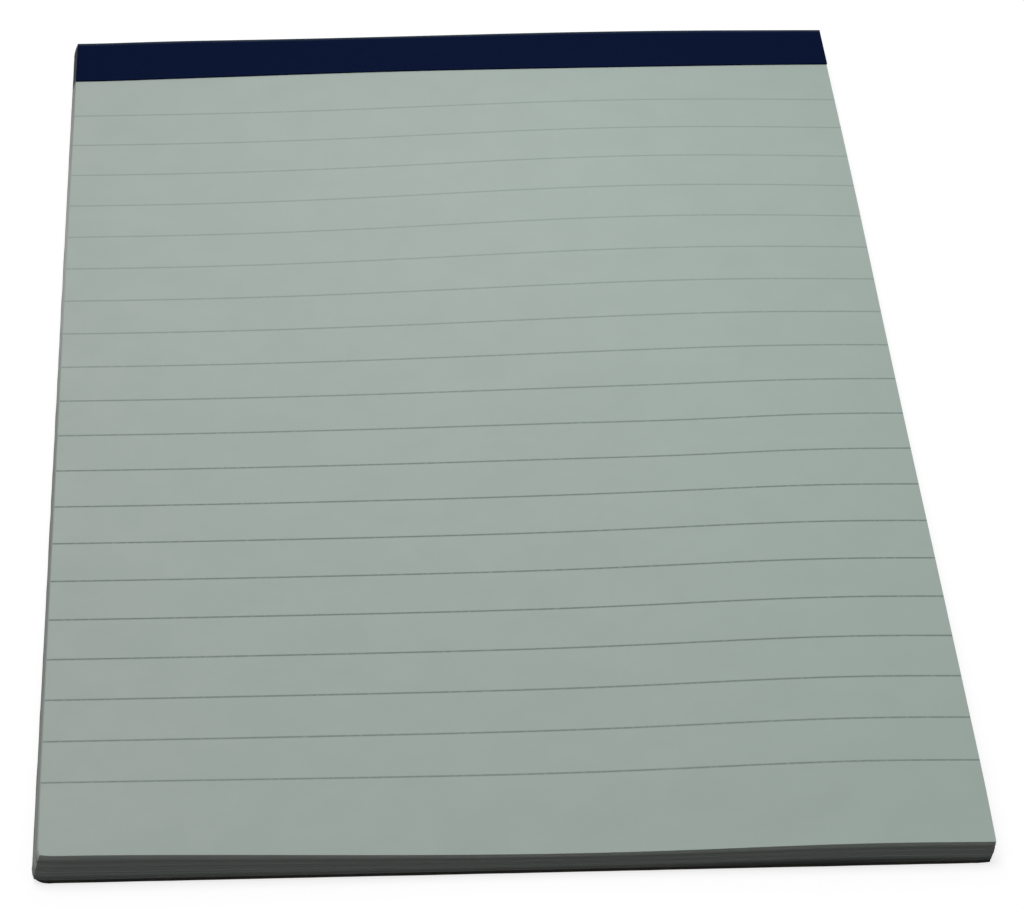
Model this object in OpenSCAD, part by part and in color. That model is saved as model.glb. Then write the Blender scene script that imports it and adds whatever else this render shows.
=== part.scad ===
/* [Sheets] */
// Width of a sheet, across the ruling
sheet_w = 127; // [90:0.5:220]
// Length of a sheet, from head to foot
sheet_l = 203.2; // [130:0.1:360]
// Thickness of the pile of sheets where it lies flat
pile_t = 3.25; // [3:0.05:12]
// Lean of the side edges, in degrees, where the pile has slid to the right
lean = 8.5; // [0:0.5:15]
// Draw of the cut, by which each side of the top sheet lies in from the bottom sheet
draw_in = 0.35; // [0:0.05:1]

/* [Board] */
// Thickness of the chipboard behind the sheets
board_t = 0.6; // [0.4:0.05:2]

/* [Wear] */
// Radius to which the board's left corner at the foot is worn round
worn_r = 2.2; // [0.5:0.1:6]
// Share of the board's wear that the bottom sheet has
sheet_wear = 0.5; // [0:0.05:1]
// Share of the board's wear that the top sheet has
top_wear = 0.35; // [0:0.05:1]
// Share of the left corner's wear that the right corner has
right_wear = 0.25; // [0:0.05:1]

/* [Binding] */
// Thickness of the padding gum on the head edges
gum_t = 0.25; // [0.1:0.05:1]
// Thickness of the binding tape
tape_t = 0.2; // [0.1:0.01:0.4]
// Thickness of the adhesive that the tape lies on
adhesive_t = 0.05; // [0.02:0.01:0.2]
// Reach of the tape over the top sheet
front_flap = 11; // [6:0.5:30]
// Waver of the tape's front edge, which was laid by hand
waver = 0.35; // [0:0.05:1]
// Distance of the tape's longest reach from the right edge
waver_from_right = 36; // [0:1:120]
// Length of one waver
waver_run = 90; // [40:5:200]
// Reach of the tape under the board
back_flap = 12; // [6:0.5:30]

/* [Crown] */
// Rise of the crown, where air lies under the sheets near the head
crown_h = 1.75; // [0:0.05:3]
// Distance of the crown from the right edge
crown_from_right = 40; // [0:1:80]
// Distance of the crown from the head
crown_from_head = 47; // [0:1:120]
// Spread of the crown across the pad
crown_w = 43; // [20:1:90]
// Spread of the crown along the pad
crown_l = 46; // [20:1:120]

/* [Ridge] */
// Rise of the ridge, a long wave down the right side
ridge_h = 1.2; // [0:0.05:3]
// Distance of the ridge from the right edge
ridge_from_right = 15; // [0:1:80]
// Distance of the ridge from the foot
ridge_from_foot = 27; // [0:1:120]
// Spread of the ridge across the pad
ridge_w = 29; // [15:1:90]
// Spread of the ridge along the pad
ridge_l = 110; // [20:1:150]

/* [Hollow] */
// Depth of the hollow, where the sheets are pressed flat on the left
hollow_h = 1.5; // [0:0.05:1.6]
// Distance of the hollow from the left edge
hollow_from_left = 12; // [0:1:80]
// Distance of the hollow from the head
hollow_from_head = 74; // [0:1:120]
// Spread of the hollow, both ways
hollow_r = 85; // [20:1:120]

/* [Dimple] */
// Depth of the dimple between the crown and the ridge
dimple_h = 0.4; // [0:0.05:1]
// Distance of the dimple from the right edge
dimple_from_right = 32; // [0:1:80]
// Distance of the dimple from the head
dimple_from_head = 112; // [0:1:120]
// Spread of the dimple across the pad
dimple_w = 16; // [10:1:60]
// Spread of the dimple along the pad
dimple_l = 14; // [10:1:60]

/* [Corner] */
// Depth of the left corner at the head, where the tape pulls the sheets down
corner_h = 0.35; // [0:0.05:1]
// Spread of that corner across the pad
corner_w = 12; // [8:1:60]
// Spread of that corner along the pad
corner_l = 17; // [8:1:60]

/* [Foot] */
// Lift of the left corner at the foot, where the free sheets curl
curl_h = 1.25; // [0:0.05:3]
// Spread of the lifted corner across the pad
curl_w = 42; // [15:1:80]
// Spread of the lifted corner along the pad
curl_l = 14; // [8:1:60]
// Droop of the foot on the right
droop_h = 0.95; // [0:0.05:2]
// Distance of the deepest droop from the right edge
droop_from_right = 12; // [0:1:80]
// Spread of the droop across the pad
droop_w = 67; // [20:1:90]
// Spread of the droop along the pad
droop_l = 9; // [8:1:60]
// Flare of the right corner, where the upper sheets have slipped out
flare = 0.25; // [0:0.05:1]
// Spread of the flare across the pad
flare_w = 20; // [8:1:60]
// Spread of the flare along the pad
flare_l = 10; // [8:1:60]

/* [Hidden] */

// Size of the flat facets that follow the waves of the sheets
facet = 4;
// Steps of the tape's outer corner at each fold
fold_steps = 4;
// Steps over the worn corners, from each edge inwards
worn_steps = 4;
// Levels of the pile from its top sheet to its bottom sheet, each as a share of the pile
levels = [1, 2 / 3, 1 / 3, 0];

// Levels from the table up: the tape's back flap, its adhesive, the board, the sheets
board_z = tape_t + adhesive_t;
sheets_z = board_z + board_t;
flat_top_z = sheets_z + pile_t;

// The gum and the tape stand out beyond the head, and the whole length is centred on the origin
head_y = (sheet_l - gum_t - adhesive_t - tape_t) / 2;
foot_y = head_y - sheet_l;
gum_y = head_y + gum_t;
left_x = -sheet_w / 2;
right_x = sheet_w / 2;

// Reach of the tape over the top sheet at x
waver_x = right_x - waver_from_right;
function reach(x) = front_flap + waver * cos(360 * (x - waver_x) / waver_run);

// Stations across the pad, and along it at x: the open sheet first, then the stretch under the tape
across_steps = ceil((sheet_w - 2 * worn_r) / facet);
open_steps = ceil((sheet_l - worn_r - front_flap) / facet);
flap_steps = ceil(front_flap / facet);
worn_ds = [for (k = [0 : worn_steps - 1]) worn_r * k / worn_steps];
xs = concat(
    [for (d = worn_ds) left_x + d],
    [for (i = [0 : across_steps]) left_x + worn_r + (sheet_w - 2 * worn_r) * i / across_steps],
    [for (k = [worn_steps - 1 : -1 : 0]) right_x - worn_ds[k]]
);
last_x = len(xs) - 1;
function open_ys(x) = concat(
    [for (d = worn_ds) foot_y + d],
    [for (j = [0 : open_steps - 1]) foot_y + worn_r + (sheet_l - worn_r - reach(x)) * j / open_steps]
);
function flap_ys(x) = [for (j = [0 : flap_steps]) head_y - reach(x) * (1 - j / flap_steps)];

// A smooth rise of height h, centred on at and fading over spread
function swell(x, y, h, at, spread) =
    h * exp(-pow((x - at[0]) / spread[0], 2) - pow((y - at[1]) / spread[1], 2));

crown_at = [right_x - crown_from_right, head_y - crown_from_head];
ridge_at = [right_x - ridge_from_right, foot_y + ridge_from_foot];
hollow_at = [left_x + hollow_from_left, head_y - hollow_from_head];
dimple_at = [right_x - dimple_from_right, head_y - dimple_from_head];
curl_at = [left_x, foot_y];
droop_at = [right_x - droop_from_right, foot_y];
flare_at = [right_x, foot_y];
corner_at = [left_x, head_y];

// Height of the top sheet above the table
function top_z(x, y) =
    flat_top_z
    + swell(x, y, crown_h, crown_at, [crown_w, crown_l])
    + swell(x, y, ridge_h, ridge_at, [ridge_w, ridge_l])
    - swell(x, y, hollow_h, hollow_at, [hollow_r, hollow_r])
    - swell(x, y, dimple_h, dimple_at, [dimple_w, dimple_l])
    + swell(x, y, curl_h, curl_at, [curl_w, curl_l])
    - swell(x, y, droop_h, droop_at, [droop_w, droop_l])
    - swell(x, y, corner_h, corner_at, [corner_w, corner_l]);

// Height of a sheet that lies at a level of the pile
function sheet_z(x, y, level) = sheets_z + level * (top_z(x, y) - sheets_z);

// The cut draws the sheets in towards the top, the pile leans from the board up, and one corner flares
function drawn(x, level) = x * (1 - 2 * draw_in / sheet_w * level * level);
function slide(z) = (max(z - sheets_z, 0) - pile_t / 2) * tan(lean);
function slipped(x, y, level) = level * swell(x, y, flare, flare_at, [flare_w, flare_l]);
function slid(x, y, z, level) = [drawn(x, level) + slide(z) + slipped(x, y, level), y, z];

// A point of the plan, drawn in where a corner at the foot is worn from its square towards its arc
function worn(p, wear) =
    let (
        across = abs(p[0]) - (right_x - worn_r),
        along = foot_y + worn_r - p[1],
        share = p[0] < 0 ? wear : wear * right_wear,
        to_arc = max(across, along) / norm([across, along]),
        keep = min(across, along) > 0 ? 1 - share * (1 - to_arc) : 1
    )
    [sign(p[0]) * (right_x - worn_r + across * keep), foot_y + worn_r - along * keep];

// Where a point of the plan comes to lie on the sheet at a level of the pile
function laid(p, level) =
    let (q = worn(p, sheet_wear + (top_wear - sheet_wear) * level))
    slid(q[0], q[1], sheet_z(q[0], q[1], level), level);

// Two triangles across the gap between a row of points from a to a + 1 and the row from b to b + 1
function cell(a, b) = [[a, b, a + 1], [a + 1, b, b + 1]];

// The pile of sheets: a waved top, and below its rim the four edges and a flat base
module ruled_sheets() {
    row = len(xs);
    columns = [for (x = xs) [for (y = concat(open_ys(x), flap_ys(x))) [x, y]]];
    rows = len(columns[0]);
    plan = [for (j = [0 : rows - 1]) for (i = [0 : row - 1]) columns[i][j]];
    top = [for (p = plan) laid(p, 1)];
    rim = concat(
        [for (i = [0 : row - 2]) i],
        [for (j = [0 : rows - 2]) j * row + row - 1],
        [for (i = [row - 1 : -1 : 1]) (rows - 1) * row + i],
        [for (j = [rows - 1 : -1 : 1]) j * row]
    );
    n = len(rim);
    b = len(top);
    last = len(levels) - 1;
    edges = [for (q = [1 : last]) for (r = rim) laid(plan[r], levels[q])];
    base_middle = slid(0, (head_y + foot_y) / 2, sheets_z, 0);
    function ring(q, k) = q == 0 ? rim[k % n] : b + (q - 1) * n + k % n;
    top_faces = [for (j = [0 : rows - 2]) for (i = [0 : row - 2])
        let (a = j * row + i)
        each cell(a, a + row)];
    edge_faces = [for (q = [0 : last - 1]) for (k = [0 : n - 1])
        each [
            [ring(q, k), ring(q, k + 1), ring(q + 1, k)],
            [ring(q, k + 1), ring(q + 1, k + 1), ring(q + 1, k)]
        ]];
    base_faces = [for (k = [0 : n - 1]) [ring(last, k), ring(last, k + 1), b + last * n]];
    color("#A5AFA8")
        polyhedron(concat(top, edges, [base_middle]), concat(top_faces, edge_faces, base_faces));
}

// The chipboard, cut flush with the bottom sheet and worn further at the foot
module backing_board() {
    left_corner = concat(
        [for (k = [worn_steps : -1 : 0]) [left_x, foot_y + worn_r * k / worn_steps]],
        [for (k = [1 : worn_steps]) [left_x + worn_r * k / worn_steps, foot_y]]
    );
    right_corner = [for (k = [len(left_corner) - 1 : -1 : 0]) [-left_corner[k][0], left_corner[k][1]]];
    foot = [for (p = concat(left_corner, right_corner)) worn(p, 1)];
    color("#3E3C38")
        translate([slide(board_z), 0, board_z])
            linear_extrude(board_t)
                polygon(concat([[left_x, head_y]], foot, [[right_x, head_y]]));
}

// The gum, brushed over the head edges of the sheets and the board
module padding_glue() {
    right_side = [for (q = [len(levels) - 1 : -1 : 1]) [right_x, levels[q]]];
    upper_edge = [for (i = [last_x : -1 : 0]) [xs[i], 1]];
    left_side = [for (q = [1 : len(levels) - 1]) [left_x, levels[q]]];
    sheet_edges = [for (p = concat(right_side, upper_edge, left_side))
        slid(p[0], gum_y, sheet_z(p[0], head_y, p[1]), p[1])];
    board_edge = [for (x = [left_x, right_x]) slid(x, gum_y, board_z, 0)];
    color("#D9D6C8")
        translate([0, gum_y, 0])
            rotate([90, 0, 0])
                linear_extrude(gum_t)
                    polygon([for (p = concat(board_edge, sheet_edges)) [p[0], p[2]]]);
}

// Path of the tape at x, over the top sheet and down the head: points of the pad, each with its way out
// and its level in the pile
function tape_path(x) = concat(
    [for (y = flap_ys(x)) [y, top_z(x, y), 90, 1]],
    [for (k = [0 : fold_steps]) [gum_y, top_z(x, head_y), 90 - 90 * k / fold_steps, 1]],
    [for (q = [1 : len(levels) - 1]) [gum_y, sheet_z(x, head_y, levels[q]), 0, levels[q]]],
    [for (k = [0 : fold_steps]) [gum_y, board_z, -90 * k / fold_steps, 0]]
);

// A point of that path, lifted off the pad by d
function lifted(p, d) = [p[0] + d * cos(p[2]), p[1] + d * sin(p[2])];

// The tape over the top sheet and the head: the path carried across the pad, inner side and outer side
module tape_front() {
    paths = [for (x = xs) tape_path(x)];
    n = len(paths[0]);
    next = 2 * n;
    last = last_x * next;
    points = [for (i = [0 : last_x]) for (d = [adhesive_t, adhesive_t + tape_t])
        for (p = paths[i]) let (q = lifted(p, d)) slid(xs[i], q[0], q[1], p[3])];
    starts = [for (i = [0 : last_x - 1]) i * next];
    inner = [for (s = starts) for (k = [s : s + n - 2]) each cell(k, k + next)];
    outer = [for (s = starts) for (k = [s + n : s + next - 2]) each cell(k + next, k)];
    flap_edge = [for (s = starts) [s, s + n, s + next + n, s + next]];
    seam = [for (s = starts) [s + n - 1, s + next + n - 1, s + 2 * next - 1, s + next - 1]];
    left_end = [for (k = [0 : n - 2]) [k, k + 1, k + n + 1, k + n]];
    right_end = [for (k = [last : last + n - 2]) [k, k + n, k + n + 1, k + 1]];
    polyhedron(points, concat(inner, outer, flap_edge, seam, left_end, right_end));
}

// The tape, with its back flap flat under the board
module binding_tape() {
    color("#0E1834")
        union() {
            tape_front();
            translate([left_x + slide(0), head_y - back_flap, 0])
                cube([sheet_w, back_flap + gum_t, tape_t]);
        }
}

ruled_sheets();
backing_board();
padding_glue();
binding_tape();
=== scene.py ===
# %% [markdown]
# # A ruled writing pad, taped at the head
#
# The pad is a pile of about fifty ruled sheets on a stiff grey board. Gum along the head edge holds the
# sheets together, and a navy tape is folded over that gum, from the top sheet round to the back of the
# board. The sheets have taken up a little air and damp, so the pile lies in low waves, and it has slid
# a little to the right.
#
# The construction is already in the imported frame. This lesson adds the looks: each piece is modelled
# flat and square first, as it was cut, and then laid into the waves by one function that all of the
# pieces share. That keeps the tape tight on the sheets without any fitting by eye.

# %% Load the frame and keep its box
import math
import random

import bmesh
import bpy
from mathutils import Matrix, Vector


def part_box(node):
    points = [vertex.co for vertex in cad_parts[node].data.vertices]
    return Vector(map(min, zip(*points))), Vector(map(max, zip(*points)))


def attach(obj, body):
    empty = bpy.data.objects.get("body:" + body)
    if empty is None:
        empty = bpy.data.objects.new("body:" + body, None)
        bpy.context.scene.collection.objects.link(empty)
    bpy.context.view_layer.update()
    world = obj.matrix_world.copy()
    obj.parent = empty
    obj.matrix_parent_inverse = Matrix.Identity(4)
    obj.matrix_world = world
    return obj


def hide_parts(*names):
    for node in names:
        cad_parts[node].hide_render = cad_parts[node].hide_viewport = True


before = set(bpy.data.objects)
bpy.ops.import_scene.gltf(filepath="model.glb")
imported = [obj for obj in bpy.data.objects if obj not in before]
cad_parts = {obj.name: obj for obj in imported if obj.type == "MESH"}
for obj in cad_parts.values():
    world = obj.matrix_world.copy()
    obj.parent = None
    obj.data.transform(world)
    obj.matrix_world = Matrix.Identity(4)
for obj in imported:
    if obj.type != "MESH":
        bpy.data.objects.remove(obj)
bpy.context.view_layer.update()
MM = 0.001

# %% [markdown]
# ## Levels and edges
#
# From the table up, the pad is the tape's back flap, the board, the sheets and the tape's front flap.
# The frame gives most of those levels as the boxes of its nodes, so they are read and not typed again.
# Only what a box can't say is written here: the sheet's own width, the thickness of the pile where it
# lies flat, how far the pile leans, and how far the trimming knife has drawn in the sheets towards the
# top of the pile.

# %% Read the levels from the frame
board_low, board_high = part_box("backing_board")
gum_low, gum_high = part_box("padding_glue")
foot_y, head_y = board_low.y, board_high.y
board_z, sheets_z = board_low.z, board_high.z
gum_y = gum_high.y

SHEET_W = 127 * MM
PILE_T = 3.25 * MM
LEAN = math.radians(8.5)
DRAW_IN = 0.35 * MM
sheet_l = head_y - foot_y
right_x = SHEET_W / 2
flat_top_z = sheets_z + PILE_T
print("Sheet in mm:", SHEET_W / MM, "x", round(sheet_l / MM, 2), "flat top at", round(flat_top_z / MM, 2))

# %% [markdown]
# ## The waves of the pile
#
# Paper that is gummed along one edge can't spread as it takes up damp, so it lifts in long soft swells.
# A lattice or a sculpting brush could shape them, but the tape, the gum and every sheet edge have to
# follow the same swells, so they are one formula here: seven bell-shaped rises and dips, the same seven
# that the part's source has. Each is its rise, the place of its middle, and its spread both ways.

# %% The waves of the top sheet
CROWN = (1.75 * MM, right_x - 40 * MM, head_y - 47 * MM, 43 * MM, 46 * MM)
RIDGE = (1.2 * MM, right_x - 15 * MM, foot_y + 27 * MM, 29 * MM, 110 * MM)
HOLLOW = (-1.5 * MM, 12 * MM - right_x, head_y - 74 * MM, 85 * MM, 85 * MM)
DIMPLE = (-0.4 * MM, right_x - 32 * MM, head_y - 112 * MM, 16 * MM, 14 * MM)
CORNER = (-0.35 * MM, -right_x, head_y, 12 * MM, 17 * MM)
CURL = (1.25 * MM, -right_x, foot_y, 42 * MM, 14 * MM)
DROOP = (-0.95 * MM, right_x - 12 * MM, foot_y, 67 * MM, 9 * MM)
WAVES = (CROWN, RIDGE, HOLLOW, DIMPLE, CORNER, CURL, DROOP)


def swell(x, y, rise, at_x, at_y, spread_x, spread_y):
    return rise * math.exp(-(((x - at_x) / spread_x) ** 2) - ((y - at_y) / spread_y) ** 2)


def lift(x, y):
    """How far the top sheet stands above the flat pile."""
    return sum(swell(x, y, *wave) for wave in WAVES)


print("Lift in mm at the right of the head:", round(lift(right_x, head_y) / MM, 2))

# %% [markdown]
# `settle` lays a flat piece into the waves. The board stays flat, the top sheet takes the whole rise, and
# the sheets between take their share of it.
#
# The same function wears the two corners at the foot. A pad that goes in and out of a bag loses its
# sharp corners, most of all low down where the board knocks against things. So a corner is drawn in from
# its square towards an arc: fully at the left of the board, less in the sheets and less at the right. At
# the right corner the upper sheets have also slipped out a little, in a flare.

# %% How a flat piece settles into the waves
FLARE = (0.25 * MM, right_x, foot_y, 20 * MM, 10 * MM)
WORN_R = 2.2 * MM
SHEET_WEAR = 0.5
TOP_WEAR = 0.35
RIGHT_WEAR = 0.25


def worn(x, y, wear):
    """A point of the plan, drawn in where a corner at the foot is worn towards its arc."""
    across = abs(x) - (right_x - WORN_R)
    along = foot_y + WORN_R - y
    if min(across, along) <= 0:
        return x, y
    share = wear if x < 0 else wear * RIGHT_WEAR
    keep = 1 - share * (1 - max(across, along) / math.hypot(across, along))
    return math.copysign(right_x - WORN_R + across * keep, x), foot_y + WORN_R - along * keep


def settled(flat, is_board):
    """Where a point of the flat pad comes to lie."""
    level = min(max((flat.z - sheets_z) / PILE_T, 0.0), 1.0)
    wear = 1.0 if is_board else SHEET_WEAR + (TOP_WEAR - SHEET_WEAR) * level
    x, y = worn(flat.x, flat.y, wear)
    z = flat.z + level * lift(x, y)
    drawn_x = x * (1 - 2 * DRAW_IN / SHEET_W * level ** 2)
    slide = (max(z - sheets_z, 0.0) - PILE_T / 2) * math.tan(LEAN)
    return Vector((drawn_x + slide + level * swell(x, y, *FLARE), y, z))


def settle(piece, is_board=False):
    for vertex in piece.data.vertices:
        vertex.co = settled(vertex.co, is_board)
    piece.data.update()


flat_corner = Vector((-right_x, foot_y, board_z))
print("The board's left corner is worn by, in mm:",
      [round(step / MM, 2) for step in settled(flat_corner, True) - flat_corner])

# %% [markdown]
# ## The camera
#
# The pad was photographed from just in front of its foot, from about 37 degrees above the table, with a
# longish lens: its sides run together only gently. The camera is set by what it looks at, how far away
# it is and its two angles, because those can be reasoned about. A last small roll levels the table the
# way it was in the photograph.

# %% Camera
AIM = Vector((4.11, -16.28, 4.4)) * MM
AIM_DISTANCE = 612.6 * MM
ELEVATION = math.radians(37.38)
TURN = math.radians(4.20)
ROLL = math.radians(1.63)
FOCAL_LENGTH = 145.68
NEAREST_SEEN = 10 * MM

ahead = Vector((
    math.sin(TURN) * math.cos(ELEVATION),
    math.cos(TURN) * math.cos(ELEVATION),
    -math.sin(ELEVATION),
))
camera = bpy.data.objects.new("camera", bpy.data.cameras.new("camera"))
camera.data.lens = FOCAL_LENGTH
camera.data.sensor_fit = "HORIZONTAL"
camera.data.clip_start = NEAREST_SEEN
camera.location = AIM - ahead * AIM_DISTANCE
level_view = ahead.to_track_quat("-Z", "Y").to_matrix()
camera.rotation_euler = (level_view @ Matrix.Rotation(ROLL, 3, "Z")).to_euler()
bpy.context.scene.collection.objects.link(camera)
bpy.context.scene.camera = camera
bpy.context.scene.view_settings.view_transform = "Standard"
print("Camera at, in mm:", [round(place / MM, 1) for place in camera.location])

# %% [markdown]
# ## Helpers for colour and nodes
#
# A colour is written as the sRGB hex value that a paint program shows. A shader wants linear light, so
# one function turns the one into the other. Another adds a node, sets it and links it in one line, so
# that a material below reads from its pattern to its surface.

# %% Helpers for colour and nodes
def linear(hex_colour):
    """The linear colour of an sRGB hex value such as #808080."""
    channels = [int(hex_colour[place:place + 2], 16) / 255 for place in (1, 3, 5)]
    light = [c / 12.92 if c <= 0.04045 else ((c + 0.055) / 1.055) ** 2.4 for c in channels]
    return (*light, 1.0)


def add(tree, kind, inputs=None, **settings):
    """Adds a node with its settings. An input is linked if it is a socket, and set if it is a value."""
    node = tree.nodes.new(kind)
    for name, value in settings.items():
        setattr(node, name, value)
    for name, value in (inputs or {}).items():
        if isinstance(value, bpy.types.NodeSocket):
            tree.links.new(value, node.inputs[name])
        else:
            node.inputs[name].default_value = value
    return node


def start_material(name):
    """An empty material, with the object's own coordinates as its first node."""
    material = bpy.data.materials.new(name)
    material.use_nodes = True
    material.node_tree.nodes.clear()
    tree = material.node_tree
    return material, tree, add(tree, "ShaderNodeTexCoord").outputs["Object"]


def surface(tree, shader):
    add(tree, "ShaderNodeOutputMaterial", {"Surface": shader.outputs[0]})


print("Mid grey in linear light:", [round(c, 3) for c in linear("#808080")])

# %% [markdown]
# ## Light
#
# The pad lies under soft studio light. The broad lamp hangs high behind the head and to the left, so the
# top sheet is lit, the left edge a little and the foot hardly at all, which is what makes the pad look
# like a dark-edged slab from the front. A small lamp close over the head gives the slow fall of light
# towards the foot.
#
# A lamp's power is worked out from the share of light that it should give on the pad, where a share of
# 1 in all shows a colour as it is written.

# %% Lamps and world
KEY_PLACE = Vector((-200, 100, 1500)) * MM
KEY_AIM = Vector((0, 0, 0))
KEY_SIZE = 800 * MM
KEY_SHARE = 0.52
HEAD_LAMP_PLACE = Vector((6, 69, 140)) * MM
HEAD_LAMP_AIM = Vector((6, 49, 0)) * MM
HEAD_LAMP_SIZE = 100 * MM
HEAD_LAMP_SHARE = 0.22
WORLD_SHARE = 0.27
WORLD_WHITE = "#FFFFFF"


def softbox(name, place, aim, size, share):
    """A square lamp that gives its share of light on a level surface at its aim."""
    lamp = bpy.data.objects.new(name, bpy.data.lights.new(name, "AREA"))
    beam = aim - place
    slant = -beam.z / beam.length
    lamp.data.size = size
    lamp.data.energy = share * math.pi ** 2 * beam.length_squared / slant
    lamp.location = place
    lamp.rotation_euler = beam.to_track_quat("-Z", "Y").to_euler()
    lamp.visible_camera = False
    bpy.context.scene.collection.objects.link(lamp)
    return lamp


key = softbox("key_softbox", KEY_PLACE, KEY_AIM, KEY_SIZE, KEY_SHARE)
head_lamp = softbox("head_softbox", HEAD_LAMP_PLACE, HEAD_LAMP_AIM, HEAD_LAMP_SIZE, HEAD_LAMP_SHARE)
world = bpy.data.worlds.new("soft_studio")
world.use_nodes = True
world.node_tree.nodes["Background"].inputs["Strength"].default_value = WORLD_SHARE
world.node_tree.nodes["Background"].inputs["Color"].default_value = linear(WORLD_WHITE)
bpy.context.scene.world = world
print("Lamp powers in watts:", round(key.data.energy, 2), round(head_lamp.data.energy, 2))

# %% [markdown]
# ## Floor
#
# The floor is a plain white one. It is white to the camera and dark to the soft bounce, so that it
# doesn't light the foot edge from below, and it still takes the pad's shadow.

# %% Floor
FLOOR_SIZE = 12
FLOOR_GLOW = 0.78
FLOOR_PAINT = "#959595"
FLOOR_BOUNCE = "#383838"

bpy.ops.object.select_all(action="DESELECT")
bpy.ops.mesh.primitive_plane_add(size=FLOOR_SIZE)
floor = bpy.context.object
floor.name = "pale_floor"
floor_paint, tree, _ = start_material("white_studio_floor")
path = add(tree, "ShaderNodeLightPath")
seen = add(tree, "ShaderNodeMath", {
    0: path.outputs["Is Camera Ray"],
    1: path.outputs["Is Glossy Ray"],
}, operation="MAXIMUM")
seen = add(tree, "ShaderNodeMath", {
    0: seen.outputs[0],
    1: path.outputs["Is Transmission Ray"],
}, operation="MAXIMUM")
lit = add(tree, "ShaderNodeBsdfDiffuse", {"Color": linear(FLOOR_PAINT)})
glow = add(tree, "ShaderNodeEmission", {"Strength": FLOOR_GLOW})
white = add(tree, "ShaderNodeAddShader", {0: lit.outputs[0], 1: glow.outputs[0]})
dark = add(tree, "ShaderNodeBsdfDiffuse", {"Color": linear(FLOOR_BOUNCE)})
floor_face = add(tree, "ShaderNodeMixShader", {0: seen.outputs[0], 1: dark.outputs[0], 2: white.outputs[0]})
surface(tree, floor_face)
floor.data.materials.append(floor_paint)
print("Floor is", FLOOR_SIZE, "m wide")

# %% [markdown]
# ## Working in edit mode
#
# Every piece below is modelled by Blender's own operators, as it would be by hand. An operator works on
# whatever is selected, so a piece starts with nothing else selected, and `pick` selects parts of it by
# a test of their place or direction.

# %% Helpers for edit mode
NEAR = 0.01 * MM
SHARP_ANGLE = math.radians(60)
SMOOTH_ANGLE = math.radians(35)


def start_grid(name, size_x, size_y, cell, centre):
    """Adds a flat grid of about square cells at its real size and place, and leaves it in edit mode."""
    bpy.ops.object.select_all(action="DESELECT")
    bpy.ops.mesh.primitive_grid_add(
        x_subdivisions=round(size_x / cell),
        y_subdivisions=round(size_y / cell),
        size=1,
    )
    piece = bpy.context.object
    piece.name = name
    bpy.ops.object.mode_set(mode="EDIT")
    bpy.ops.transform.resize(value=(size_x, size_y, 1))
    bpy.ops.transform.translate(value=centre)
    return piece


def pick(piece, kind, test):
    """Selects the edges or faces that pass the test, and nothing else."""
    bpy.ops.mesh.select_mode(type={"edges": "EDGE", "faces": "FACE"}[kind])
    bpy.ops.mesh.select_all(action="DESELECT")
    mesh = bmesh.from_edit_mesh(piece.data)
    chosen = [part for part in getattr(mesh, kind) if test(part)]
    for part in chosen:
        part.select_set(True)
    bmesh.update_edit_mesh(piece.data)
    return len(chosen)


def extrude(move):
    bpy.ops.mesh.extrude_region_move(TRANSFORM_OT_translate={"value": move})


def middle(edge):
    return sum((vertex.co for vertex in edge.verts), Vector()) / len(edge.verts)


def is_sharp(edge):
    return len(edge.link_faces) == 2 and edge.calc_face_angle() > SHARP_ANGLE


def face_outwards():
    bpy.ops.mesh.select_all(action="SELECT")
    bpy.ops.mesh.normals_make_consistent(inside=False)


print("Nodes that the pieces stand for:", sorted(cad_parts))

# %% [markdown]
# Two more steps are the same for several pieces. The corner cells at the foot are cut finer, so that they
# can be worn round, and a finished piece gets its smooth shading and its place in the frame.

# %% Helpers for corners and for the finished piece
def split_foot_corners(piece, cuts):
    """Cuts the two corner cells at the foot, so that they can be worn round."""
    pick(piece, "faces", lambda face: any(
        abs(vertex.co.x) > right_x - NEAR and vertex.co.y < foot_y + NEAR for vertex in face.verts
    ))
    bpy.ops.mesh.subdivide(number_cuts=cuts)


def finish_piece(piece, node):
    """Closes edit mode, smooths the shading and puts the piece in the frame."""
    bpy.ops.object.mode_set(mode="OBJECT")
    bpy.ops.object.shade_smooth_by_angle(angle=SMOOTH_ANGLE)
    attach(piece, "root")
    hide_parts(node)
    print(piece.name, "has", sum(len(face.vertices) - 2 for face in piece.data.polygons), "triangles")


print("Edges turned by more than", round(math.degrees(SMOOTH_ANGLE)), "degrees stay crisp")

# %% [markdown]
# ## The pile of sheets
#
# A real pile is cut in one stroke, so its edges are nearly flush, but each sheet slips a few hundredths
# of a millimetre in handling, and that fine stepping is what tells paper edges from a solid block.
# Fifty separate sheets would be fifty hidden surfaces. Instead the top sheet is a grid, and its rim is
# extruded down sheet by sheet: first the sheet's own edge, then the hair gap to the next. The last rim
# is filled, so the pile is one closed mesh.

# %% Model the pile flat
SHEETS = 48
SHEET_CELL = 2 * MM
SHEET_CORNER_CUTS = 6
GAP_SHARE = 0.2

sheet_t = PILE_T / SHEETS
mid_y = (foot_y + head_y) / 2
pile = start_grid("writing_sheets", SHEET_W, sheet_l, SHEET_CELL, (0, mid_y, flat_top_z))
split_foot_corners(pile, SHEET_CORNER_CUTS)
rim_edges = pick(pile, "edges", lambda edge: edge.is_boundary)
for sheet in range(SHEETS):
    last_sheet = sheet == SHEETS - 1
    extrude((0, 0, -sheet_t * (1 if last_sheet else 1 - GAP_SHARE)))
    if not last_sheet:
        extrude((0, 0, -sheet_t * GAP_SHARE))
bpy.ops.mesh.edge_face_add()
face_outwards()
print("Edges round each sheet:", rim_edges)

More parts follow.
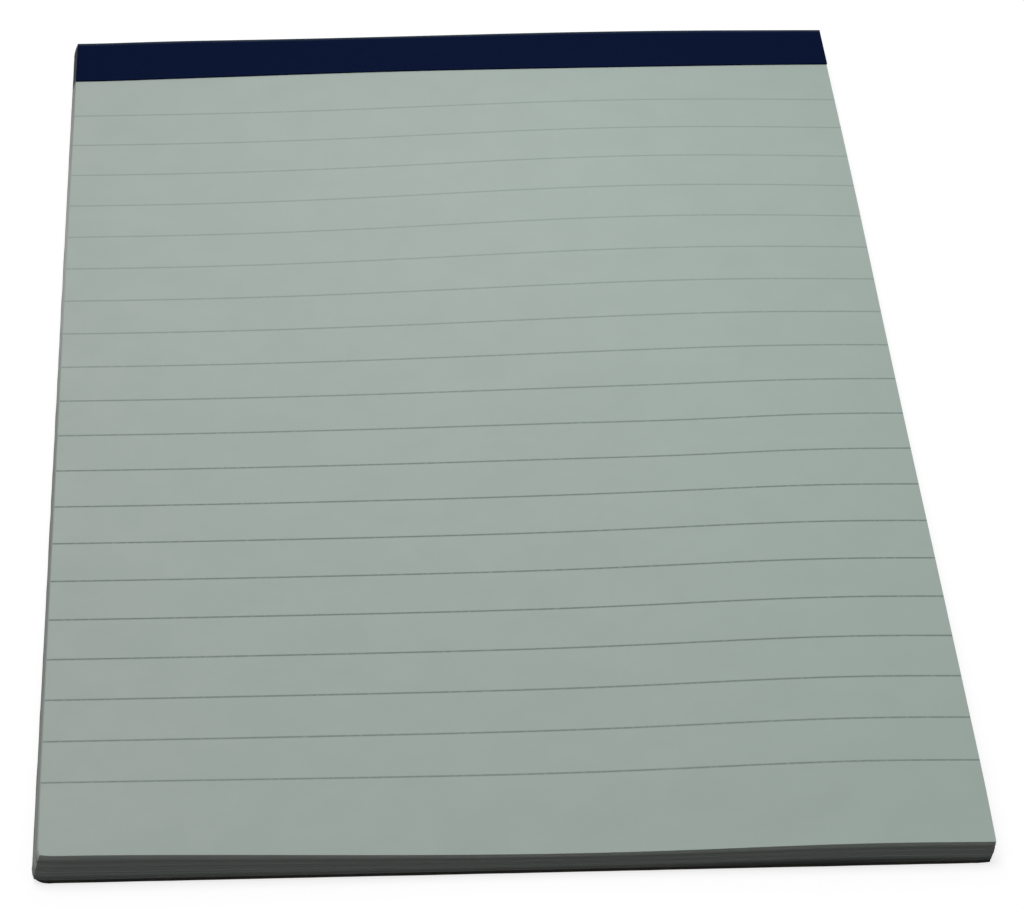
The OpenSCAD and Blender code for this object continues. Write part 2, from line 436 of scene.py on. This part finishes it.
# %% [markdown]
# The trimmed edges get a material slot of their own while the pile is still flat and square, because
# then they are simply the faces that stand upright.
#
# Then every sheet slips by its own small seeded amount. It is gummed at the head, so it slips most at the
# foot. Each point also keeps the number of its sheet, counted from the top, which the finish of the
# trimmed edges uses later.

# %% Mark the trimmed edges, then slip and settle the sheets
UPRIGHT_BELOW = 0.5
SLIP = 0.06 * MM
SLIP_SEED = 11

pile.data.materials.append(None)
pile.data.materials.append(None)
pick(pile, "faces", lambda face: abs(face.normal.z) < UPRIGHT_BELOW)
pile.active_material_index = 1
bpy.ops.object.material_slot_assign()
bpy.ops.object.mode_set(mode="OBJECT")

slips = random.Random(SLIP_SEED)
slip_of = [(slips.uniform(-SLIP, SLIP), slips.uniform(-SLIP, SLIP)) for sheet in range(SHEETS)]
sheet_number = pile.data.attributes.new("sheet_number", "FLOAT", "POINT")
for vertex in pile.data.vertices:
    depth = (flat_top_z - vertex.co.z) / sheet_t
    sheet_number.data[vertex.index].value = depth
    across, along = slip_of[min(int(depth + GAP_SHARE / 2), SHEETS - 1)]
    free = (head_y - vertex.co.y) / sheet_l
    vertex.co.x = vertex.co.x * (1 - 2 * SLIP / SHEET_W) + across * free
    vertex.co.y += (SLIP + along) * free
settle(pile)
finish_piece(pile, "ruled_sheets")

# %% [markdown]
# ## The backing board
#
# The board is grey chipboard, cut with the sheets. A knife crushes such a board a little, so its edges
# are not crisp: they are slightly rounded. It starts as a grid that is extruded to the board's thickness,
# and its lower edges are bevelled. The upper ones lie under the sheets.

# %% Model the board
BOARD_CELL = 3 * MM
BOARD_CORNER_CUTS = 7
CRUSH = 0.09 * MM
CRUSH_SEGMENTS = 2

board_t = sheets_z - board_z
board = start_grid("chipboard_back", SHEET_W, sheet_l, BOARD_CELL, (0, mid_y, board_z))
split_foot_corners(board, BOARD_CORNER_CUTS)
bpy.ops.mesh.select_all(action="SELECT")
extrude((0, 0, board_t))
face_outwards()
crushed = pick(board, "edges", lambda edge: is_sharp(edge) and middle(edge).z < board_z + board_t / 2)
bpy.ops.mesh.bevel(offset=CRUSH, segments=CRUSH_SEGMENTS, affect="EDGES")
bpy.ops.object.mode_set(mode="OBJECT")
print("Crushed edges:", crushed)

# %% [markdown]
# A cut through pressed waste paper is also ragged. Each point of the rim is pulled in by a small seeded
# amount, and marked for the board's finish to use later.

# %% Make the board's rim ragged, and settle it
RAGGED = 0.05 * MM
RAGGED_SEED = 5


def on_rim(point):
    at_side = abs(abs(point.x) - right_x) < CRUSH
    return at_side or point.y - foot_y < CRUSH or head_y - point.y < CRUSH


wavering = random.Random(RAGGED_SEED)
rim_mark = board.data.attributes.new("rim_mark", "FLOAT", "POINT")
for vertex in board.data.vertices:
    if on_rim(vertex.co):
        rim_mark.data[vertex.index].value = 1.0
        pull = wavering.uniform(0, RAGGED)
        vertex.co.x -= math.copysign(pull, vertex.co.x) if abs(vertex.co.x) > right_x - CRUSH else 0
        vertex.co.y += pull if vertex.co.y < foot_y + CRUSH else 0
settle(board, is_board=True)
finish_piece(board, "backing_board")

# %% [markdown]
# ## The binding tape
#
# The tape is one strip, stuck to the top sheet, folded down over the gummed head and folded again under
# the board. It could be a bent plane, but a strip that is extruded along its way shows the folds as
# plain edges. The front flap comes first. Its free edge was laid by hand, so it wavers by a third of a
# millimetre.

# %% Model the front flap
FRONT_FLAP = 11 * MM
WAVER = 0.35 * MM
WAVER_AT = right_x - 36 * MM
WAVER_RUN = 90 * MM
ADHESIVE_T = 0.05 * MM
TAPE_CELL = 1 * MM

inner_top = flat_top_z + ADHESIVE_T
inner_low = board_z - ADHESIVE_T
inner_head = gum_y + ADHESIVE_T
flap_reach = FRONT_FLAP + inner_head - head_y
tape = start_grid("navy_tape", SHEET_W, flap_reach, TAPE_CELL, (0, inner_head - flap_reach / 2, inner_top))
flap_mesh = bmesh.from_edit_mesh(tape.data)
for vertex in flap_mesh.verts:
    share = (inner_head - vertex.co.y) / flap_reach
    vertex.co.y -= share * WAVER * math.cos(math.tau * (vertex.co.x - WAVER_AT) / WAVER_RUN)
bmesh.update_edit_mesh(tape.data)
print("Front flap in mm:", round(flap_reach / MM, 2), "to the fold")

# %% [markdown]
# The rest of the strip grows from the flap's edge at the head, down and then back under the board. A
# bevel rounds the two folds to the small radius that a rubbed-down fold has.

# %% Fold the tape over the head and under the board
BACK_FLAP = 12 * MM
HEAD_STEPS = 3
FOLD_RADIUS = 0.15 * MM
FOLD_SEGMENTS = 4

pick(tape, "edges", lambda edge: middle(edge).y > inner_head - NEAR)
for step in range(HEAD_STEPS):
    extrude((0, 0, (inner_low - inner_top) / HEAD_STEPS))
back_reach = inner_head - head_y + BACK_FLAP
back_steps = round(back_reach / TAPE_CELL)
for step in range(back_steps):
    extrude((0, -back_reach / back_steps, 0))
fold_edges = pick(tape, "edges", is_sharp)
bpy.ops.mesh.bevel(offset=FOLD_RADIUS, segments=FOLD_SEGMENTS, affect="EDGES")
face_outwards()
bpy.ops.object.mode_set(mode="OBJECT")
print("Edges along the two folds:", fold_edges)

# %% [markdown]
# Solidify gives the strip the thickness of the tape, outwards, and it settles into the same waves as the
# sheets.
#
# Along its two folds, where they stick out most and catch the light, the tape's finish paints a paler
# line: a painted highlight. While the tape is still flat and square, those points are easy to find by
# their distance from the fold's corner, so they are marked before it settles, for the tape's finish to
# use later.

# %% Give the tape its thickness, mark its folds and settle it
TAPE_T = 0.2 * MM
MARK_SLACK = 0.02 * MM

facing_up = max(tape.data.polygons, key=lambda face: face.center.z).normal.z > 0
thicken = tape.modifiers.new("tape_thickness", "SOLIDIFY")
thicken.thickness = TAPE_T
thicken.offset = 1 if facing_up else -1
thicken.use_even_offset = True
bpy.ops.object.modifier_apply(modifier=thicken.name)

fold_reach = FOLD_RADIUS + TAPE_T + MARK_SLACK
fold_heights = (inner_top + TAPE_T, inner_low - TAPE_T)
fold_highlight = tape.data.attributes.new("fold_highlight", "FLOAT", "POINT")
for vertex in tape.data.vertices:
    to_head = inner_head + TAPE_T - vertex.co.y
    to_fold = min(math.hypot(to_head, vertex.co.z - height) for height in fold_heights)
    fold_highlight.data[vertex.index].value = 1.0 if to_fold < fold_reach else 0.0
settle(tape)
finish_piece(tape, "binding_tape")

# %% [markdown]
# ## Writing paper, ruled across
#
# Uncoated writing paper is matte all over. Close to, its fibres lie in faint clouds, which give the eye
# a soft unevenness of tone and no gloss. Its ruling is thin grey ink, twenty lines from edge to edge. The
# lines could be modelled, but ink has no thickness, so they are drawn by the distance along the pad to
# the nearest line. Distances are counted in rows here, from the first line towards the foot.

# %% Draw the ruling
INCH = 25.4 * MM
FIRST_LINE = 21.95 * MM
LINE_PITCH = 11 / 32 * INCH
LINES = 20
LINE_W = 0.35 * MM
LINE_SOFT = 0.2 * MM

ruled_paper, tree, place = start_material("ruled_writing_paper")
axes = add(tree, "ShaderNodeSeparateXYZ", {0: place})
row = add(tree, "ShaderNodeMath", {
    0: axes.outputs["Y"],
    1: -1 / LINE_PITCH,
    2: (head_y - FIRST_LINE) / LINE_PITCH,
}, operation="MULTIPLY_ADD")
nearest = add(tree, "ShaderNodeMath", {0: row.outputs[0]}, operation="ROUND")
nearest = add(tree, "ShaderNodeClamp", {"Value": nearest.outputs[0], "Min": 0, "Max": LINES - 1})
aside = add(tree, "ShaderNodeMath", {0: row.outputs[0], 1: nearest.outputs[0]}, operation="SUBTRACT")
aside = add(tree, "ShaderNodeMath", {0: aside.outputs[0]}, operation="ABSOLUTE")
ink = add(tree, "ShaderNodeMapRange", {
    "Value": aside.outputs[0],
    "From Min": (LINE_W - LINE_SOFT) / 2 / LINE_PITCH,
    "From Max": (LINE_W + LINE_SOFT) / 2 / LINE_PITCH,
    "To Min": 1.0,
    "To Max": 0.0,
}, interpolation_type="SMOOTHSTEP")
print("Lines:", LINES, "every", round(LINE_PITCH / MM, 2), "mm")

# %% [markdown]
# The ink is a little worn where it has skipped a fibre. In the photograph it is strongest in the lower
# middle and pales towards the head and the foot, so its strength follows the row.

# %% Strength of the ink
FIBRE = 0.6 * MM
SKIP_FROM = 0.25
SKIP_TO = 0.5
SKIPPED_INK = 0.6
PALE_ROW = 4
FULL_ROW = 13
FADING_ROW = 15
LAST_ROW = 19.5
HEAD_INK = 0.48
FOOT_INK = 0.85

fibres = add(tree, "ShaderNodeTexNoise", {"Vector": place, "Scale": 1 / FIBRE, "Detail": 2.0})
inked = add(tree, "ShaderNodeMapRange", {
    "Value": fibres.outputs["Fac"],
    "From Min": SKIP_FROM,
    "From Max": SKIP_TO,
    "To Min": SKIPPED_INK,
    "To Max": 1.0,
})
from_head = add(tree, "ShaderNodeMapRange", {
    "Value": row.outputs[0],
    "From Min": PALE_ROW,
    "From Max": FULL_ROW,
    "To Min": HEAD_INK,
    "To Max": 1.0,
}, interpolation_type="SMOOTHSTEP")
to_foot = add(tree, "ShaderNodeMapRange", {
    "Value": row.outputs[0],
    "From Min": FADING_ROW,
    "From Max": LAST_ROW,
    "To Min": 1.0,
    "To Max": FOOT_INK,
}, interpolation_type="SMOOTHSTEP")
strength = ink
for share in (inked, from_head, to_foot):
    strength = add(tree, "ShaderNodeMath", {
        0: strength.outputs[0],
        1: share.outputs[0],
    }, operation="MULTIPLY")
print("Ink at the head:", HEAD_INK, "and at the foot:", FOOT_INK)

# %% [markdown]
# The sheet isn't one grey: it is a little warmer at its left edge than at its right, which is painted
# warm light from the left, and the clouds of fibre are a shade darker than the paper between them.

# %% Paper tone, fibres and surface
CLOUD = 7 * MM
CLOUD_FROM = 0.35
CLOUD_TO = 0.65
CLOUD_SHARE = 0.3
PAPER_LEFT_WARM_LIGHT = "#ADB7B1"
PAPER_RIGHT = "#A9B7B0"
PAPER_CLOUD = "#A2AEA8"
RULING_INK = "#7C8885"
FIBRE_BUMP = 0.12
FIBRE_DEPTH = 0.03 * MM

# The left-to-right change of tone is painted warm light from the left.
sideways = add(tree, "ShaderNodeMapRange", {
    "Value": axes.outputs["X"],
    "From Min": -right_x,
    "From Max": right_x,
})
tone = add(tree, "ShaderNodeMix", {
    "Factor": sideways.outputs[0],
    "A": linear(PAPER_LEFT_WARM_LIGHT),
    "B": linear(PAPER_RIGHT),
}, data_type="RGBA")
cloud = add(tree, "ShaderNodeTexNoise", {
    "Vector": place,
    "Scale": 1 / CLOUD,
    "Detail": 4.0,
    "Roughness": 0.6,
})
clouded = add(tree, "ShaderNodeMapRange", {
    "Value": cloud.outputs["Fac"],
    "From Min": CLOUD_FROM,
    "From Max": CLOUD_TO,
    "To Max": CLOUD_SHARE,
})
tone = add(tree, "ShaderNodeMix", {
    "Factor": clouded.outputs[0],
    "A": tone.outputs["Result"],
    "B": linear(PAPER_CLOUD),
}, data_type="RGBA")
printed = add(tree, "ShaderNodeMix", {
    "Factor": strength.outputs[0],
    "A": tone.outputs["Result"],
    "B": linear(RULING_INK),
}, data_type="RGBA")
grain = add(tree, "ShaderNodeBump", {
    "Height": fibres.outputs["Fac"],
    "Strength": FIBRE_BUMP,
    "Distance": FIBRE_DEPTH,
})
paper_face = add(tree, "ShaderNodeBsdfPrincipled", {
    "Base Color": printed.outputs["Result"],
    "Roughness": 0.9,
    "Specular IOR Level": 0.2,
    "Normal": grain.outputs[0],
})
surface(tree, paper_face)
pile.data.materials[0] = ruled_paper
print("Paper from", PAPER_LEFT_WARM_LIGHT, "to", PAPER_RIGHT, "with ink", RULING_INK)

# %% [markdown]
# ## The trimmed edges
#
# Cut edges are the same paper seen end on and rough. Their tone is a touch darker than the top sheet,
# which is painted shade between the sheets, and streaked along the pile, which is painted light that each
# sheet catches by itself. The streaks follow the sheets by the number that each point of the rim was
# given, so they ride over the waves.

# %% Streaks along the sheets
STREAK_L = 25 * MM
# These two tones hold the painted shade between the sheets and the painted light of the streaks.
EDGE_LIGHT = "#A2A8A4"
EDGE_DARK = "#8C928E"

trimmed_edges, tree, place = start_material("trimmed_paper_edges")
number = add(tree, "ShaderNodeAttribute", attribute_name="sheet_number")
axes = add(tree, "ShaderNodeSeparateXYZ", {0: place})
stretched = add(tree, "ShaderNodeVectorMath", {
    0: place,
    1: (1 / STREAK_L, 1 / STREAK_L, 0),
}, operation="MULTIPLY")
layered = add(tree, "ShaderNodeCombineXYZ", {"Z": number.outputs["Fac"]})
streak_at = add(tree, "ShaderNodeVectorMath", {
    0: stretched.outputs[0],
    1: layered.outputs[0],
}, operation="ADD")
streak = add(tree, "ShaderNodeTexNoise", {"Vector": streak_at.outputs[0], "Scale": 1.0, "Detail": 3.0})
tone = add(tree, "ShaderNodeMix", {
    "Factor": streak.outputs["Fac"],
    "A": linear(EDGE_DARK),
    "B": linear(EDGE_LIGHT),
}, data_type="RGBA")
print("Streaks are about", STREAK_L / MM, "mm long")

# %% [markdown]
# Light that falls on the top sheet soaks into the paper and comes out at the edges of the upper sheets,
# so those are paler. The edges are also darker at the foot and grow paler towards the head. Both
# stretches keep the streaks, because they are still cut paper.

# %% Paler upper sheets, and paler edges towards the head
EDGE_TOP = "#B8BFBA"
LIT_SHEETS = 12
HEAD_EDGE_LIGHT = "#CED4D0"
HEAD_EDGE_DARK = "#B4BAB6"
PALER_FROM_Y = -25 * MM
PALEST_FROM_Y = 50 * MM

soaked = add(tree, "ShaderNodeMapRange", {
    "Value": number.outputs["Fac"],
    "From Max": LIT_SHEETS,
    "To Min": 1.0,
    "To Max": 0.0,
})
tone = add(tree, "ShaderNodeMix", {
    "Factor": soaked.outputs[0],
    "A": tone.outputs["Result"],
    "B": linear(EDGE_TOP),
}, data_type="RGBA")
towards_head = add(tree, "ShaderNodeMapRange", {
    "Value": axes.outputs["Y"],
    "From Min": PALER_FROM_Y,
    "From Max": PALEST_FROM_Y,
}, interpolation_type="SMOOTHSTEP")
head_tone = add(tree, "ShaderNodeMix", {
    "Factor": streak.outputs["Fac"],
    "A": linear(HEAD_EDGE_DARK),
    "B": linear(HEAD_EDGE_LIGHT),
}, data_type="RGBA")
tone = add(tree, "ShaderNodeMix", {
    "Factor": towards_head.outputs[0],
    "A": tone.outputs["Result"],
    "B": head_tone.outputs["Result"],
}, data_type="RGBA")
print("Light soaks into the upper", LIT_SHEETS, "sheets")

# %% [markdown]
# Beside the tape the edges are darker, further along some sheets than along others. The darkening dims
# the tone that is there, so that the streaks stay in it.

# %% Darker edges beside the tape
DARK_CREEP = 5 * MM
DARK_FADE = 1.5 * MM
BESIDE_TAPE_SHADE = 0.2

crept = add(tree, "ShaderNodeMath", {
    0: streak.outputs["Fac"],
    1: DARK_CREEP,
    2: axes.outputs["Y"],
}, operation="MULTIPLY_ADD")
darkening_from = head_y - FRONT_FLAP + DARK_CREEP / 2
beside_tape = add(tree, "ShaderNodeMapRange", {
    "Value": crept.outputs[0],
    "From Min": darkening_from - DARK_FADE / 2,
    "From Max": darkening_from + DARK_FADE / 2,
    "To Min": 1.0,
    "To Max": BESIDE_TAPE_SHADE,
})
tone = add(tree, "ShaderNodeVectorMath", {
    0: tone.outputs["Result"],
    "Scale": beside_tape.outputs[0],
}, operation="SCALE")
print("Gum dims the edges to", BESIDE_TAPE_SHADE)

# %% [markdown]
# Low in the pile the last few sheets are darker towards the board. Along the foot the darkening reaches
# highest right of the middle. Its height is counted in sheets, up from the board.

# %% Darker sheets above the board, and the surface of the edges
LOW_DARK_AT_X = 41 * MM
LOW_DARK_REACH = 30 * MM
LOW_DARK_RISE = 8
LOW_DARK_FADE = 9
LOW_DARK_SHADE = 0.17

from_patch = add(tree, "ShaderNodeMath", {0: axes.outputs["X"], 1: LOW_DARK_AT_X}, operation="SUBTRACT")
from_patch = add(tree, "ShaderNodeMath", {0: from_patch.outputs[0]}, operation="ABSOLUTE")
rise = add(tree, "ShaderNodeMapRange", {
    "Value": from_patch.outputs[0],
    "From Max": LOW_DARK_REACH,
    "To Min": LOW_DARK_RISE,
    "To Max": 0.0,
}, interpolation_type="SMOOTHSTEP")
sheets_up = add(tree, "ShaderNodeMath", {0: SHEETS, 1: number.outputs["Fac"]}, operation="SUBTRACT")
sheets_up = add(tree, "ShaderNodeMath", {0: sheets_up.outputs[0], 1: rise.outputs[0]}, operation="SUBTRACT")
darker_low = add(tree, "ShaderNodeMapRange", {
    "Value": sheets_up.outputs[0],
    "From Min": -LOW_DARK_RISE,
    "From Max": LOW_DARK_FADE,
    "To Min": LOW_DARK_SHADE,
    "To Max": 1.0,
})
tone = add(tree, "ShaderNodeVectorMath", {
    0: tone.outputs[0],
    "Scale": darker_low.outputs[0],
}, operation="SCALE")
edge_face = add(tree, "ShaderNodeBsdfPrincipled", {
    "Base Color": tone.outputs[0],
    "Roughness": 0.95,
    "Specular IOR Level": 0.1,
})
surface(tree, edge_face)
pile.data.materials[1] = trimmed_edges
print("Soil reaches", LOW_DARK_RISE, "sheets higher at the right of the foot")

# %% [markdown]
# ## Chipboard
#
# Chipboard is pressed from waste paper, so it is a warm grey with lighter and darker fibres a few
# millimetres long, and it is rough and matte. The pale fibres lie one way and the dark ones across them.

# %% Fibres of the chipboard
FLECK_L = 2.5 * MM
FLECK_W = 0.5 * MM
PALE_FROM = 0.52
PALE_TO = 0.7
DARK_FROM = 0.58
DARK_TO = 0.72
CHIP_GREY = "#6B6861"
CHIP_PALE = "#89857B"
CHIP_DARK = "#4C4944"

chipboard, tree, place = start_material("grey_chipboard")
along = add(tree, "ShaderNodeVectorMath", {
    0: place,
    1: (1 / FLECK_L, 1 / FLECK_W, 1 / FLECK_W),
}, operation="MULTIPLY")
pale = add(tree, "ShaderNodeTexNoise", {"Vector": along.outputs[0], "Scale": 1.0, "Detail": 3.0})
pale_fleck = add(tree, "ShaderNodeMapRange", {
    "Value": pale.outputs["Fac"],
    "From Min": PALE_FROM,
    "From Max": PALE_TO,
})
across = add(tree, "ShaderNodeVectorMath", {
    0: place,
    1: (1 / FLECK_W, 1 / FLECK_L, 1 / FLECK_W),
}, operation="MULTIPLY")
dim = add(tree, "ShaderNodeTexNoise", {"Vector": across.outputs[0], "Scale": 1.0, "Detail": 3.0})
dark_fleck = add(tree, "ShaderNodeMapRange", {
    "Value": dim.outputs["Fac"],
    "From Min": DARK_FROM,
    "From Max": DARK_TO,
})
tone = add(tree, "ShaderNodeMix", {
    "Factor": pale_fleck.outputs[0],
    "A": linear(CHIP_GREY),
    "B": linear(CHIP_PALE),
}, data_type="RGBA")
tone = add(tree, "ShaderNodeMix", {
    "Factor": dark_fleck.outputs[0],
    "A": tone.outputs["Result"],
    "B": linear(CHIP_DARK),
}, data_type="RGBA")
print("Flecks are", FLECK_L / MM, "by", FLECK_W / MM, "mm")

# %% [markdown]
# The rim that was marked is much darker than the board's face, and it keeps the same fibres.

# %% Dark rim and surface of the chipboard
RIM_FROM = 0.7
RIM_SHADE = 0.31
CHIP_BUMP = 0.3
CHIP_DEPTH = 0.05 * MM

marked = add(tree, "ShaderNodeAttribute", attribute_name="rim_mark")
darker_rim = add(tree, "ShaderNodeMapRange", {
    "Value": marked.outputs["Fac"],
    "From Min": RIM_FROM,
    "To Min": 1.0,
    "To Max": RIM_SHADE,
}, interpolation_type="SMOOTHSTEP")
tone = add(tree, "ShaderNodeVectorMath", {
    0: tone.outputs["Result"],
    "Scale": darker_rim.outputs[0],
}, operation="SCALE")
relief = add(tree, "ShaderNodeBump", {
    "Height": pale.outputs["Fac"],
    "Strength": CHIP_BUMP,
    "Distance": CHIP_DEPTH,
})
chip_face = add(tree, "ShaderNodeBsdfPrincipled", {
    "Base Color": tone.outputs[0],
    "Roughness": 0.92,
    "Specular IOR Level": 0.2,
    "Normal": relief.outputs[0],
})
surface(tree, chip_face)
board.data.materials.append(chipboard)
print("The board's rim is dimmed to", RIM_SHADE)

# %% [markdown]
# ## Navy binding tape
#
# The tape is a dyed paper tape with a fine crepe, about half a millimetre from ridge to ridge. The eye
# gets a deep navy, nearly without gloss, with a faint weave of light across it, and a paler, patchy line
# along its folds, which is a painted highlight.

# %% Navy tape
CREPE_W = 0.5 * MM
CREPE_L = 1.25 * MM
CREPE_BUMP = 0.25
CREPE_DEPTH = 0.03 * MM
HIGHLIGHT_PATCH = 9 * MM
HIGHLIGHT_FROM = 0.15
NAVY = "#0B1736"
NAVY_DEEP = "#091430"
FOLD_HIGHLIGHT = "#4A5660"

navy_paper, tree, place = start_material("navy_crepe_paper_tape")
crepe_at = add(tree, "ShaderNodeVectorMath", {
    0: place,
    1: (1 / CREPE_W, 1 / CREPE_L, 1 / CREPE_L),
}, operation="MULTIPLY")
crepe = add(tree, "ShaderNodeTexNoise", {"Vector": crepe_at.outputs[0], "Scale": 1.0, "Detail": 2.0})
tone = add(tree, "ShaderNodeMix", {
    "Factor": crepe.outputs["Fac"],
    "A": linear(NAVY_DEEP),
    "B": linear(NAVY),
}, data_type="RGBA")
marked = add(tree, "ShaderNodeAttribute", attribute_name="fold_highlight")
at_fold = add(tree, "ShaderNodeMapRange", {
    "Value": marked.outputs["Fac"],
    "From Min": HIGHLIGHT_FROM,
}, interpolation_type="SMOOTHSTEP")
patches = add(tree, "ShaderNodeTexNoise", {"Vector": place, "Scale": 1 / HIGHLIGHT_PATCH, "Detail": 4.0})
highlight = add(tree, "ShaderNodeMath", {0: at_fold.outputs[0], 1: patches.outputs["Fac"]}, operation="MULTIPLY")
# The paler, patchy line along the folds is a painted highlight.
tone = add(tree, "ShaderNodeMix", {
    "Factor": highlight.outputs[0],
    "A": tone.outputs["Result"],
    "B": linear(FOLD_HIGHLIGHT),
}, data_type="RGBA")
relief = add(tree, "ShaderNodeBump", {
    "Height": crepe.outputs["Fac"],
    "Strength": CREPE_BUMP,
    "Distance": CREPE_DEPTH,
})
tape_face = add(tree, "ShaderNodeBsdfPrincipled", {
    "Base Color": tone.outputs["Result"],
    "Roughness": 0.9,
    "Specular IOR Level": 0.03,
    "Normal": relief.outputs[0],
})
surface(tree, tape_face)
tape.data.materials.append(navy_paper)
print("Tape colours:", NAVY, NAVY_DEEP)

# %% [markdown]
# ## Padding gum
#
# The gum is a brushed film of dried glue, off-white and a little glossy. Only its two ends show, between
# the sheets and the tape, so the frame's own solid stays and gets this finish.

# %% Dried padding gum
BRUSH_MARK = 1.2 * MM
BRUSH_BUMP = 0.3
BRUSH_DEPTH = 0.05 * MM
GUM_PALE = "#D9D6C8"
GUM_DULL = "#C2BDA8"

dried_gum, tree, place = start_material("dried_padding_gum")
marks = add(tree, "ShaderNodeTexNoise", {"Vector": place, "Scale": 1 / BRUSH_MARK, "Detail": 3.0})
tone = add(tree, "ShaderNodeMix", {
    "Factor": marks.outputs["Fac"],
    "A": linear(GUM_DULL),
    "B": linear(GUM_PALE),
}, data_type="RGBA")
brushed = add(tree, "ShaderNodeBump", {
    "Height": marks.outputs["Fac"],
    "Strength": BRUSH_BUMP,
    "Distance": BRUSH_DEPTH,
})
gum_face = add(tree, "ShaderNodeBsdfPrincipled", {
    "Base Color": tone.outputs["Result"],
    "Roughness": 0.45,
    "IOR": 1.47,
    "Normal": brushed.outputs[0],
})
surface(tree, gum_face)
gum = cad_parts["padding_glue"]
gum.data.materials.clear()
gum.data.materials.append(dried_gum)
print("Gum film in mm:", round((gum_high.y - gum_low.y) / MM, 2))
